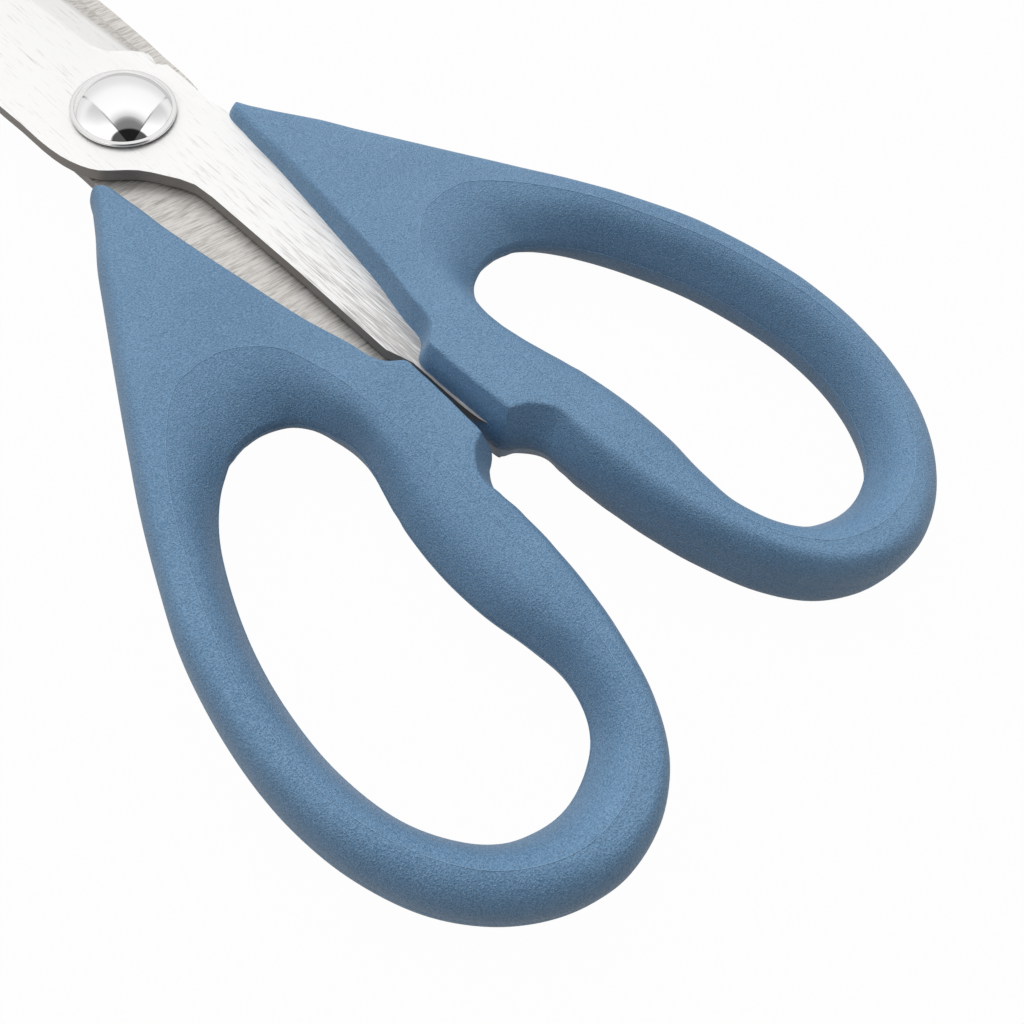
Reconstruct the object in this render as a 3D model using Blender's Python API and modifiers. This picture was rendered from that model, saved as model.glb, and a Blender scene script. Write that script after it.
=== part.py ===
"""Kitchen scissors: two stainless blades turning on a domed rivet, with two moulded loop handles.

Metres, +Z up. The scissors lie flat with the blades pointing along +Y. The origin is on the
pivot's axis, in the plane that the undersides of the handles rest on.
"""

import bpy
import bmesh
import math
from mathutils import Vector

COLLECTION_NAME = "kitchen_scissors"

# Whole scissors
HANDLE_END = 0.107            # pivot to the far end of the loops
HANDLE_REACH = 0.0445         # centre plane to the outermost point of a loop
HANDLE_HALF_HEIGHT = 0.0056   # half the height of a handle at its loop
NOSE_HALF_HEIGHT = 0.0034     # half the height of a handle at its nose
BLADE_REACH = 0.107           # pivot to the tip
BLADE_THICKNESS = 0.0017
BOSS_REACH = 0.0110           # pivot to the back of a blade
EDGE_REACH = 0.0086           # centre plane to the cutting edge beside the pivot

# Clearances
SEAT_GAP = 0.0003             # between pieces that touch
STOP_GAP = 0.0003             # between the stop pads when closed
BORE_CLEARANCE = 0.0002       # round the shank in its holes
OVERRUN = 0.004               # cutters past the face that they cut

# Handle section
EDGE_ROUND = 0.004            # widest rounding of the outer edge, seen in plan
EDGE_TALL_SHARE = 2.0         # height of that rounding against its width
ROUND_LIMIT_SHARE = 0.86      # most of the half height that a rounding takes
HOLE_LAND = 0.0011            # half height of the land round the finger hole
HOLE_DRAFT = 0.0003           # lean of that land
DISH_POWER = 1.9              # how round the dish falls from its crease to the hole
FULLNESS_SHARE = 1.15         # how much rounder a full station swells it
WEDGE_RUN_SHARE = 0.467       # where the wedge reaches its full height

# Grind of a blade
GRIND_ANGLE = math.radians(13.0)
GRIND_LEAN = math.radians(3.9)      # the grind line closes on the tip
GRIND_START = 0.0044                # centre plane to the grind line beside the pivot
GRIND_RUNOUT = 0.0006               # radius at the end of the grind

# Pivot
SHANK_RADIUS = 0.0026
DOME_RADIUS = 0.0062
DOME_HEIGHT = 0.0024
DOME_EDGE = 0.0003
WASHER_RADIUS = 0.0065
WASHER_THICKNESS = 0.0004
CAP_RADIUS = 0.0050
CAP_HEIGHT = 0.0017
CAP_BORE_DEPTH = 0.0009
TURNED_STEPS = 40

# Anchor holes in a tang: x and y as shares of the handle, radius as a share of the widest
ANCHOR_RADIUS = 0.0022
ANCHOR_SHARES = (
    (0.256, 0.224, 0.82),
    (0.258, 0.327, 1.00),
    (0.109, 0.486, 0.52),
)

# A handle, station by station round the loop: outer edge, crease and finger hole as shares of
# the reach and of the end, then the edge rounding, how crisp that edge is and how full the
# dish swells
HANDLE_STATION_SHARES = (
    (0.250, 0.071, 0.404, 0.349, 0.443, 0.430, 0.42, 0.0, 0.15),
    (0.286, 0.094, 0.422, 0.348, 0.454, 0.430, 0.40, 0.0, 0.15),
    (0.328, 0.121, 0.445, 0.349, 0.467, 0.431, 0.42, 0.0, 0.15),
    (0.389, 0.157, 0.463, 0.350, 0.479, 0.432, 0.47, 0.0, 0.15),
    (0.458, 0.205, 0.483, 0.351, 0.494, 0.434, 0.55, 0.0, 0.15),
    (0.591, 0.299, 0.517, 0.358, 0.512, 0.436, 0.57, 0.0, 0.20),
    (0.681, 0.364, 0.564, 0.374, 0.539, 0.443, 0.55, 0.0, 0.30),
    (0.769, 0.430, 0.640, 0.410, 0.593, 0.460, 0.50, 0.0, 0.38),
    (0.858, 0.505, 0.724, 0.464, 0.663, 0.493, 0.47, 0.0, 0.38),
    (0.917, 0.561, 0.798, 0.528, 0.728, 0.540, 0.47, 0.0, 0.32),
    (0.962, 0.626, 0.863, 0.596, 0.793, 0.605, 0.50, 0.0, 0.32),
    (0.991, 0.692, 0.903, 0.665, 0.834, 0.674, 0.55, 0.0, 0.42),
    (1.000, 0.752, 0.924, 0.738, 0.849, 0.748, 0.65, 0.0, 0.52),
    (0.982, 0.821, 0.908, 0.805, 0.825, 0.820, 0.80, 0.0, 0.55),
    (0.926, 0.890, 0.863, 0.862, 0.766, 0.871, 0.95, 0.0, 0.50),
    (0.843, 0.940, 0.791, 0.910, 0.701, 0.900, 1.00, 0.0, 0.42),
    (0.746, 0.974, 0.699, 0.941, 0.631, 0.914, 0.97, 0.0, 0.36),
    (0.649, 0.993, 0.625, 0.954, 0.571, 0.919, 0.88, 0.0, 0.32),
    (0.551, 1.000, 0.544, 0.958, 0.515, 0.917, 0.72, 0.0, 0.32),
    (0.425, 0.989, 0.454, 0.951, 0.447, 0.907, 0.57, 0.0, 0.30),
    (0.317, 0.958, 0.366, 0.932, 0.393, 0.892, 0.50, 0.0, 0.30),
    (0.234, 0.909, 0.292, 0.893, 0.353, 0.869, 0.50, 0.0, 0.38),
    (0.171, 0.841, 0.243, 0.840, 0.324, 0.831, 0.53, 0.0, 0.62),
    (0.137, 0.785, 0.218, 0.788, 0.330, 0.786, 0.57, 0.0, 1.00),
    (0.117, 0.734, 0.203, 0.738, 0.348, 0.735, 0.57, 0.1, 1.30),
    (0.103, 0.692, 0.194, 0.687, 0.351, 0.687, 0.57, 0.4, 1.42),
    (0.097, 0.665, 0.191, 0.654, 0.344, 0.651, 0.57, 0.7, 1.45),
    (0.092, 0.643, 0.190, 0.634, 0.335, 0.627, 0.57, 1.0, 1.45),
    (0.065, 0.626, 0.190, 0.621, 0.328, 0.612, 0.53, 1.0, 1.45),
    (0.034, 0.617, 0.189, 0.610, 0.319, 0.600, 0.47, 1.0, 1.45),
    (0.016, 0.607, 0.188, 0.598, 0.312, 0.588, 0.42, 1.0, 1.42),
    (0.013, 0.581, 0.188, 0.578, 0.297, 0.569, 0.38, 1.0, 1.40),
    (0.011, 0.547, 0.189, 0.542, 0.276, 0.542, 0.35, 1.0, 1.30),
    (0.009, 0.511, 0.192, 0.511, 0.263, 0.520, 0.35, 1.0, 1.12),
    (0.016, 0.482, 0.197, 0.484, 0.263, 0.500, 0.33, 1.0, 0.87),
    (0.065, 0.464, 0.201, 0.464, 0.274, 0.484, 0.30, 1.0, 0.60),
    (0.081, 0.428, 0.216, 0.429, 0.285, 0.470, 0.33, 1.0, 0.38),
    (0.110, 0.374, 0.243, 0.392, 0.303, 0.456, 0.34, 1.0, 0.25),
    (0.144, 0.280, 0.285, 0.371, 0.328, 0.444, 0.35, 0.8, 0.19),
    (0.175, 0.187, 0.330, 0.357, 0.362, 0.436, 0.38, 0.5, 0.16),
    (0.191, 0.117, 0.371, 0.350, 0.400, 0.431, 0.40, 0.2, 0.15),
    (0.205, 0.080, 0.389, 0.350, 0.422, 0.430, 0.42, 0.0, 0.15),
)
STATION_SPLITS = 2
ROUND_STEPS = 3
DISH_STEP_SHARES = (0.30, 0.60, 0.85)

# Back of a blade from the tip down: shares of the boss reach and of the blade reach
BACK_SHARES = (
    (-0.055, 1.000),
    (-0.175, 0.975),
    (-0.367, 0.902),
    (-0.596, 0.776),
    (-0.780, 0.607),
    (-0.908, 0.421),
    (-0.982, 0.234),
    (-1.000, 0.093),
)
# Cutting edge from the heel up: shares of the edge reach and of the blade reach
EDGE_SHARES = (
    (0.980, 0.047),
    (0.990, 0.095),
    (1.000, 0.168),
    (0.940, 0.327),
    (0.800, 0.514),
    (0.575, 0.701),
    (0.302, 0.860),
    (0.070, 0.967),
)
# Round of the boss below the pivot: shares of the boss reach
BOSS_SHARES = (
    (-0.984, 0.561),
    (-0.981, 0.211),
    (-0.950, -0.100),
    (-0.873, -0.355),
    (-0.768, -0.533),
    (-0.608, -0.665),
    (-0.440, -0.806),
    (-0.273, -1.042),
    (-0.105, -1.360),
)
# Heel of the boss on the edge side, up to the notch: shares of the boss reach
HEEL_SHARES = (
    (0.835, -0.475),
    (0.838, -0.033),
    (0.828, 0.269),
)
NOTCH_SHARES = (
    (0.775, 0.305),
    (0.735, 0.358),
    (0.745, 0.410),
)
# Tang: the inner edge that shows, then its end and hidden outer edge, as shares of the handle's
# reach and end
TANG_INNER_SHARES = (
    (-0.019, 0.196),
    (-0.014, 0.308),
    (-0.015, 0.448),
    (0.000, 0.467),
    (0.009, 0.480),
    (0.009, 0.540),
)
TANG_OUTER_SHARES = (
    (0.014, 0.576),
    (0.031, 0.594),
    (0.060, 0.592),
    (0.089, 0.580),
    (0.118, 0.550),
    (0.142, 0.503),
    (0.178, 0.452),
    (0.244, 0.404),
    (0.316, 0.361),
    (0.351, 0.308),
    (0.340, 0.248),
    (0.298, 0.190),
    (0.252, 0.137),
    (0.227, 0.103),
    (0.217, 0.075),
)
# End of the grind from its line out to the edge: shares of the edge reach
RUNOUT_SHARES = (
    (0.00, 1.280),
    (0.08, 1.130),
    (0.34, 0.900),
    (0.47, 0.730),
    (0.60, 0.500),
    (1.40, 0.300),
)

BLADE_PLANE = HANDLE_HALF_HEIGHT                       # where the two blades face each other
BLADE_LOW = SEAT_GAP / 2                               # inner face of a blade from that plane
BLADE_HIGH = BLADE_LOW + BLADE_THICKNESS               # its outer face


# Curves in plan

def mix(first, second, low, high, place):
    """Point at a place between two points that stand at low and high."""
    return (first * (high - place) + second * (place - low)) / (high - low)


def spline_point(before, start, end, after, share):
    """Point of a centripetal spline at a share of the way from start to end."""
    points = (before, start, end, after)
    knots = [0.0]
    for first, second in zip(points, points[1:]):
        knots.append(knots[-1] + math.sqrt(max((second - first).length, SEAT_GAP)))
    place = knots[1] + (knots[2] - knots[1]) * share
    lines = [mix(points[i], points[i + 1], knots[i], knots[i + 1], place) for i in range(3)]
    bends = [mix(lines[i], lines[i + 1], knots[i], knots[i + 2], place) for i in range(2)]
    return mix(bends[0], bends[1], knots[1], knots[2], place)


def smooth_ring(points, splits):
    """Closed smooth curve through the points, with each span split."""
    count = len(points)
    ring = []
    for i in range(count):
        span = [points[(i + step) % count] for step in (-1, 0, 1, 2)]
        for split in range(splits):
            ring.append(spline_point(*span, split / splits))
    return ring


def smooth_run(points, splits):
    """Open smooth curve through the points, ends included."""
    ends = [points[0] * 2 - points[1]] + list(points) + [points[-1] * 2 - points[-2]]
    run = []
    for i in range(len(points) - 1):
        for split in range(splits):
            run.append(spline_point(*ends[i:i + 4], split / splits))
    run.append(points[-1])
    return run


def scaled(shares, across, along):
    """Plan points from shares of two sizes."""
    return [Vector((x * across, y * along)) for x, y in shares]


def handle_points(shares):
    """Plan points from shares of the handle, which lies towards -Y."""
    return scaled(shares, HANDLE_REACH, -HANDLE_END)


def inward_normals(ring):
    """Unit normals of a closed ring that runs clockwise, pointing into it."""
    count = len(ring)
    normals = []
    for i in range(count):
        run = (ring[(i + 1) % count] - ring[i - 1]).normalized()
        normals.append(Vector((run.y, -run.x)))
    return normals


# Scene helpers

def clear_scene():
    for thing in list(bpy.data.objects):
        bpy.data.objects.remove(thing)


def new_collection(name):
    collection = bpy.data.collections.new(name)
    bpy.context.scene.collection.children.link(collection)
    return collection


def make_material(name, colour, roughness, metallic):
    material = bpy.data.materials.new(name)
    material.use_nodes = True
    shader = material.node_tree.nodes["Principled BSDF"]
    shader.inputs["Base Color"].default_value = (*colour, 1.0)
    shader.inputs["Roughness"].default_value = roughness
    shader.inputs["Metallic"].default_value = metallic
    material.diffuse_color = (*colour, 1.0)
    return material


def new_object(name, mesh, collection):
    thing = bpy.data.objects.new(name, mesh)
    collection.objects.link(thing)
    return thing


def evaluated_mesh(thing):
    """Mesh of an object with its modifiers, with loose caps welded."""
    bpy.context.view_layer.update()
    graph = bpy.context.evaluated_depsgraph_get()
    mesh = bpy.data.meshes.new_from_object(thing.evaluated_get(graph))
    shape = bmesh.new()
    shape.from_mesh(mesh)
    bmesh.ops.remove_doubles(shape, verts=shape.verts, dist=BORE_CLEARANCE / 100)
    shape.to_mesh(mesh)
    shape.free()
    return mesh


def plate(name, outline, holes, low, high, collection):
    """Flat plate of a plan outline with round holes, between two heights."""
    curve = bpy.data.curves.new(name, "CURVE")
    curve.dimensions = "2D"
    curve.fill_mode = "BOTH"
    curve.extrude = (high - low) / 2
    loops = [outline]
    for centre, radius in holes:
        turns = [math.tau * step / TURNED_STEPS for step in range(TURNED_STEPS)]
        loops.append([centre + Vector((math.cos(t), math.sin(t))) * radius for t in turns])
    for loop in loops:
        spline = curve.splines.new("POLY")
        spline.points.add(len(loop) - 1)
        for knot, point in zip(spline.points, loop):
            knot.co = (point.x, point.y, 0, 1)
        spline.use_cyclic_u = True
    drawing = new_object(name + "_outline", curve, collection)
    mesh = evaluated_mesh(drawing)
    bpy.data.objects.remove(drawing)
    for vertex in mesh.vertices:
        vertex.co.z += (low + high) / 2
    return new_object(name, mesh, collection)


def turned(name, profile, collection):
    """Turned piece from a profile that runs down its outer side from the axis to the axis."""
    mesh = bpy.data.meshes.new(name)
    edges = [(i, i + 1) for i in range(len(profile) - 1)]
    mesh.from_pydata([(radius, 0, height) for radius, height in profile], edges, [])
    piece = new_object(name, mesh, collection)
    screw = piece.modifiers.new("turn", "SCREW")
    screw.steps = TURNED_STEPS
    screw.render_steps = TURNED_STEPS
    screw.use_merge_vertices = True
    screw.merge_threshold = BORE_CLEARANCE / 100
    return piece


def cut(piece, cutter, operation="DIFFERENCE"):
    cutter.hide_render = True
    cutter.display_type = "WIRE"
    boolean = piece.modifiers.new("cut_" + cutter.name, "BOOLEAN")
    boolean.operation = operation
    boolean.solver = "EXACT"
    boolean.object = cutter


def finish(piece, material, sharp_angle):
    """Bake the modifiers, set the material and shade the round faces smooth."""
    mesh = evaluated_mesh(piece)
    piece.modifiers.clear()
    piece.data = mesh
    mesh.name = piece.name
    mesh.materials.clear()
    mesh.materials.append(material)
    mesh.shade_smooth()
    mesh.set_sharp_from_angle(angle=sharp_angle)


def turned_over(piece, name, material):
    """The same piece turned over about the centre line, as the other half of the scissors."""
    mesh = piece.data.copy()
    mesh.name = name
    mesh.materials.clear()
    mesh.materials.append(material)
    twin = bpy.data.objects.new(name, mesh)
    for collection in piece.users_collection:
        collection.objects.link(twin)
    twin.rotation_euler = (0, math.pi, 0)
    twin.location = piece.location
    return twin


# Blade

def blade_outline():
    """Outline of one stamping: blade, boss and tang, clockwise."""
    back = scaled(BACK_SHARES, BOSS_REACH, BLADE_REACH) + scaled(BOSS_SHARES, BOSS_REACH, BOSS_REACH)
    inner = handle_points(TANG_INNER_SHARES)
    outer = handle_points(TANG_OUTER_SHARES)
    heel = scaled(HEEL_SHARES, BOSS_REACH, BOSS_REACH)
    notch = scaled(NOTCH_SHARES, BOSS_REACH, BOSS_REACH)
    edge = scaled(EDGE_SHARES, EDGE_REACH, BLADE_REACH)
    down = smooth_run(back + inner[:1], 2)
    round_end = smooth_run(inner[-1:] + outer + heel, 2)
    up = smooth_run(edge + [down[0]], 2)
    return (down + inner[1:-1] + round_end + notch + up[:-1])[::-1]


def anchor_holes(shrink):
    holes = []
    for x, y, size in ANCHOR_SHARES:
        centre = Vector((x * HANDLE_REACH, -y * HANDLE_END))
        holes.append((centre, size * ANCHOR_RADIUS - shrink))
    return holes


def grind_cutter(collection):
    """Wedge of the grind: its floor leans from the grind line down to the cutting edge."""
    side = BOSS_REACH + EDGE_REACH
    runout = scaled(RUNOUT_SHARES, EDGE_REACH, EDGE_REACH)
    start = runout[0].y
    outline = [Vector((-side / 2, start)), Vector((-side / 2, BLADE_REACH + side))]
    outline += [Vector((side, BLADE_REACH + side)), Vector((side, runout[-1].y))]
    outline += smooth_run(runout, 2)[::-1]
    cutter = plate("grind_cutter", outline, [], 0, BLADE_THICKNESS + OVERRUN, collection)
    bevel = cutter.modifiers.new("runout", "BEVEL")
    bevel.width = GRIND_RUNOUT
    bevel.segments = 2
    bevel.angle_limit = math.radians(60.0)
    cutter.rotation_euler = (0, GRIND_ANGLE, GRIND_LEAN)
    cutter.location = (GRIND_START, 0, BLADE_HIGH)
    return cutter


def make_blade(name, material, parts, cutters):
    holes = [(Vector((0, 0)), SHANK_RADIUS + BORE_CLEARANCE)] + anchor_holes(0)
    blade = plate(name, blade_outline(), holes, BLADE_LOW, BLADE_HIGH, parts)
    cut(blade, grind_cutter(cutters))
    finish(blade, material, math.radians(25.0))
    return blade


# Handle

def top_height(y):
    """Half height of a handle at a place along it: the wedge rises from the nose."""
    nose = -HANDLE_STATION_SHARES[0][1] * HANDLE_END
    full = -WEDGE_RUN_SHARE * HANDLE_END
    share = min(max((nose - y) / (nose - full), 0.0), 1.0)
    return NOSE_HALF_HEIGHT + (HANDLE_HALF_HEIGHT - NOSE_HALF_HEIGHT) * share


def station_values():
    """Outer, crease and hole points and the section's three shares at every station."""
    rows = HANDLE_STATION_SHARES
    outer = handle_points([(row[0], row[1]) for row in rows])
    for point in outer:
        point.x = max(point.x, STOP_GAP / 2)
    crease = handle_points([(row[2], row[3]) for row in rows])
    hole = handle_points([(row[4], row[5]) for row in rows])
    sections = [Vector(row[6:9]) for row in rows]
    rings = [smooth_ring(points, STATION_SPLITS) for points in (outer, crease, hole)]
    count = len(rows)
    trims = []
    for i in range(count * STATION_SPLITS):
        first = sections[i // STATION_SPLITS]
        second = sections[(i // STATION_SPLITS + 1) % count]
        trims.append(first.lerp(second, i % STATION_SPLITS / STATION_SPLITS))
    for point in rings[0]:
        point.x = max(point.x, STOP_GAP / 2)
    return rings[0], rings[1], rings[2], trims


def upper_section(outer, normal, crease, hole, trims):
    """Points of one station from the parting line over the top and down to the hole.

    A soft outer edge is an arc; a crisp one is a leaning wall that meets the top at a corner.
    """
    width = trims.x * EDGE_ROUND
    crispness = trims.y
    height = top_height(outer.y)
    most = height * ROUND_LIMIT_SHARE
    rise = min(width * EDGE_TALL_SHARE, most)
    rise += (most - rise) * crispness
    points = [(outer, 0.0), (outer, height - rise)]
    for step in range(1, ROUND_STEPS + 1):
        turn = math.pi / 2 * step / ROUND_STEPS
        climb = math.sin(turn)
        lean = 1 - math.cos(turn)
        lean += (climb - lean) * crispness
        points.append((outer + normal * width * lean, height - rise + rise * climb))
    crease_height = top_height(crease.y)
    points.append((crease, crease_height))
    power = DISH_POWER + FULLNESS_SHARE * trims.z
    edge = hole + (crease - hole).normalized() * HOLE_DRAFT
    for share in DISH_STEP_SHARES:
        fall = 1 - share ** power
        points.append((crease.lerp(edge, share), HOLE_LAND + (crease_height - HOLE_LAND) * fall))
    points.append((edge, HOLE_LAND))
    points.append((hole, 0.0))
    return points


def handle_mesh(name):
    """Closed ring of the handle: one section a station, the lower half mirroring the upper."""
    outer, crease, hole, trims = station_values()
    normals = inward_normals(outer)
    shape = bmesh.new()
    loops = []
    for i in range(len(outer)):
        upper = upper_section(outer[i], normals[i], crease[i], hole[i], trims[i])
        lower = [(place, -height) for place, height in upper[-2:0:-1]]
        loops.append([shape.verts.new((p.x, p.y, z)) for p, z in upper + lower])
    for i, ring in enumerate(loops):
        after = loops[(i + 1) % len(loops)]
        for j in range(len(ring)):
            k = (j + 1) % len(ring)
            shape.faces.new((ring[j], ring[k], after[k], after[j]))
    bmesh.ops.triangulate(shape, faces=shape.faces)
    bmesh.ops.recalc_face_normals(shape, faces=shape.faces)
    mesh = bpy.data.meshes.new(name)
    shape.to_mesh(mesh)
    shape.free()
    return mesh


def grown(outline, distance):
    """The outline moved outwards all round."""
    normals = inward_normals(outline)
    return [point - normal * distance for point, normal in zip(outline, normals)]


def make_handle(name, material, parts, cutters):
    handle = new_object(name, handle_mesh(name), parts)
    outline = grown(blade_outline(), SEAT_GAP)
    low = BLADE_LOW - SEAT_GAP
    high = BLADE_HIGH + SEAT_GAP
    pocket = plate("tang_pocket", outline, anchor_holes(SEAT_GAP), low, high, cutters)
    cut(handle, pocket)
    finish(handle, material, math.radians(35.0))
    return handle


# Pivot

def dome_profile(radius, height, base, steps):
    """Shallow dome from its top down to its base, as an arc of a sphere."""
    sphere = (radius * radius + height * height) / (2 * abs(height))
    widest = math.asin(radius / sphere)
    points = []
    for step in range(steps + 1):
        turn = widest * step / steps
        drop = sphere * (1 - math.cos(turn))
        points.append((sphere * math.sin(turn), base + height - math.copysign(drop, height)))
    return points


def make_rivet(material, parts):
    """Domed head and its shank in one piece."""
    seat = BLADE_HIGH + WASHER_THICKNESS + SEAT_GAP * 2
    end = -BLADE_HIGH - SEAT_GAP - CAP_BORE_DEPTH + SEAT_GAP
    profile = dome_profile(DOME_RADIUS, DOME_HEIGHT, seat + DOME_EDGE, 7)
    profile += [(DOME_RADIUS, seat), (SHANK_RADIUS, seat), (SHANK_RADIUS, end), (0, end)]
    rivet = turned("pivot_rivet", profile, parts)
    finish(rivet, material, math.radians(30.0))
    return rivet


def make_washer(material, parts):
    """Flat washer between the dome and the upper blade."""
    low = BLADE_HIGH + SEAT_GAP
    high = low + WASHER_THICKNESS
    bore = SHANK_RADIUS + BORE_CLEARANCE
    profile = [(bore, high), (WASHER_RADIUS, high), (WASHER_RADIUS, low), (bore, low), (bore, high)]
    washer = turned("pivot_washer", profile, parts)
    finish(washer, material, math.radians(30.0))
    return washer


def make_cap(material, parts):
    """Low domed cap that closes the shank's end under the lower blade."""
    seat = -BLADE_HIGH - SEAT_GAP
    bore = SHANK_RADIUS + BORE_CLEARANCE
    floor = seat - CAP_BORE_DEPTH
    profile = [(0, floor), (bore, floor), (bore, seat), (CAP_RADIUS, seat)]
    low_dome = dome_profile(CAP_RADIUS, -CAP_HEIGHT / 2, seat - CAP_HEIGHT / 2, 4)
    profile += low_dome[::-1]
    cap = turned("pivot_cap", profile, parts)
    finish(cap, material, math.radians(30.0))
    return cap


def main():
    clear_scene()
    parts = new_collection(COLLECTION_NAME)
    cutters = new_collection("cutters")
    steel = make_material("satin_steel", (0.62, 0.61, 0.60), 0.32, 1.0)
    lower_steel = make_material("satin_steel_lower", (0.60, 0.59, 0.58), 0.32, 1.0)
    blue = make_material("slate_blue_plastic", (0.125, 0.262, 0.400), 0.50, 0.0)
    lower_blue = make_material("slate_blue_plastic_lower", (0.125, 0.262, 0.400), 0.50, 0.0)
    dome = make_material("polished_dome", (0.80, 0.80, 0.80), 0.08, 1.0)
    ring = make_material("polished_washer", (0.78, 0.78, 0.78), 0.12, 1.0)
    back = make_material("polished_cap", (0.78, 0.78, 0.78), 0.15, 1.0)

    upper_blade = make_blade("upper_blade", steel, parts, cutters)
    upper_handle = make_handle("upper_handle", blue, parts, cutters)
    lower_blade = turned_over(upper_blade, "lower_blade", lower_steel)
    lower_handle = turned_over(upper_handle, "lower_handle", lower_blue)
    rivet = make_rivet(dome, parts)
    washer = make_washer(ring, parts)
    cap = make_cap(back, parts)

    pivot = new_object("pivot_axis", None, parts)
    pivot.location = (0, 0, BLADE_PLANE)
    for piece in (upper_blade, upper_handle, lower_blade, lower_handle, rivet, washer, cap):
        piece.parent = pivot


main()
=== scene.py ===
import math

import bmesh
import bpy
from mathutils import Matrix, Vector


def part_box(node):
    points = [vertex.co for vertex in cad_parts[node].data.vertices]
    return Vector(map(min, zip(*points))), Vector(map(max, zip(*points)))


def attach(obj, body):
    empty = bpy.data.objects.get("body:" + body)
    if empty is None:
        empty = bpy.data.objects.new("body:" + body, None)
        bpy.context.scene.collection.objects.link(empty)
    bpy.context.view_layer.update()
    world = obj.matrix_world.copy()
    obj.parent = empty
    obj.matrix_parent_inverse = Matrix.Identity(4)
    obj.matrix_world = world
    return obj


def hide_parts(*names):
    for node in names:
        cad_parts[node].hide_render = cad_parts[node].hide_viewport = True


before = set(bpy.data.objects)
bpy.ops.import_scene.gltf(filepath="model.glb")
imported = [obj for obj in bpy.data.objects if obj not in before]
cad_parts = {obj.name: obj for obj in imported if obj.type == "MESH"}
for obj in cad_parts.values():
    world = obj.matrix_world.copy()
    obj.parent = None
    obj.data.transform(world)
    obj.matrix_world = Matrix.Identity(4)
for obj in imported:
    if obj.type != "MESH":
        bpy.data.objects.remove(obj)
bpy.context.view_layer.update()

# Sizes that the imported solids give, in metres
handle_low, handle_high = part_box("upper_handle")
blade_low, blade_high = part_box("upper_blade")
lower_low, lower_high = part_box("lower_blade")
rivet_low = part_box("pivot_rivet")[0]
washer_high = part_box("pivot_washer")[1]
cap_low, cap_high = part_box("pivot_cap")
HANDLE_REACH = handle_high.x
HANDLE_END = -handle_low.y
PIVOT_HEIGHT = (handle_low.z + handle_high.z) / 2
FULL_HEIGHT = handle_high.z - PIVOT_HEIGHT
UPPER_BLADE_MIDDLE = (blade_low.z + blade_high.z) / 2
LOWER_BLADE_MIDDLE = (lower_low.z + lower_high.z) / 2

# Handle section
NOSE_HEIGHT = 0.0034          # half height of a handle at its nose
WEDGE_RUN_SHARE = 0.467       # where the wedge reaches its full height
EDGE_ROUND = 0.004            # widest rounding of the outer edge, seen in plan
EDGE_TALL_SHARE = 2.0         # height of that rounding against its width
WEDGE_CRISPNESS = 0.36        # how firm the outer edge is at the nose
CRISP_END_SHARE = 0.62        # where that firmness has faded out
ROUND_LIMIT_SHARE = 0.86      # most of the half height that a rounding takes
CORNER_RADIUS = 0.00035       # small radius along a crisp top edge
HOLE_LAND = 0.0011            # half height of the land round the finger hole
HOLE_DRAFT = 0.0003           # lean of that land
DISH_POWER = 2.6              # how round the dish falls from its crease to the hole
FULLNESS_SHARE = 0.9          # how much rounder a full station swells it
KINK_SHARE = 0.34             # how hard the dish breaks away at its crease
CREASE_SHARE = 0.02           # width of the crease against the top and the dish beside it
TOP_SHARES = (0.25, 0.5, 0.75, 1 - CREASE_SHARE, 1)
TOP_SETTLE_SHARE = 0.25       # where the top has taken up the wedge's own height
LEAST_SIDE = 0.00015          # centre plane to a stop pad
LEAST_CHORD = 0.0003          # shortest chord that a smooth curve is drawn over
NORMAL_PASSES = 24            # easing of the outer edge's direction round tight corners
STATION_SPLITS = 8
ROUND_STEPS = 10
DISH_STEPS = 14
HANDLE_SHARP = math.radians(32.0)

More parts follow.
